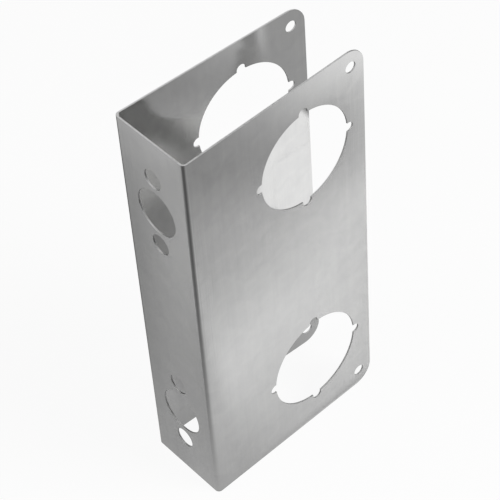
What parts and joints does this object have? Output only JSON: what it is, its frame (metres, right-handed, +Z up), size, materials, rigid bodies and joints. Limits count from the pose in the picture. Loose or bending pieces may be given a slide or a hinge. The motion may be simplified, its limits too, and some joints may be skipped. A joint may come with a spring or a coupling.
{
  "type": "door reinforcer plate",
  "caption": "Folded stainless channel that wraps a door's edge, with notched lock bores in its legs and latch holes in the web.",
  "frame": {"origin": "centre of the plate's box in plan, at its bottom end", "axes": "+Z up along the folds, +X from the web towards the legs' free edges, +Y across the door's thickness towards the far leg"},
  "size_m": [0.1078, 0.0462, 0.2286],
  "materials": {
    "stainless_steel": "satin brushed stainless steel"
  },
  "bodies": {
    "root": {"reinforcer_plate": "stainless_steel"}
  },
  "joints": []
}
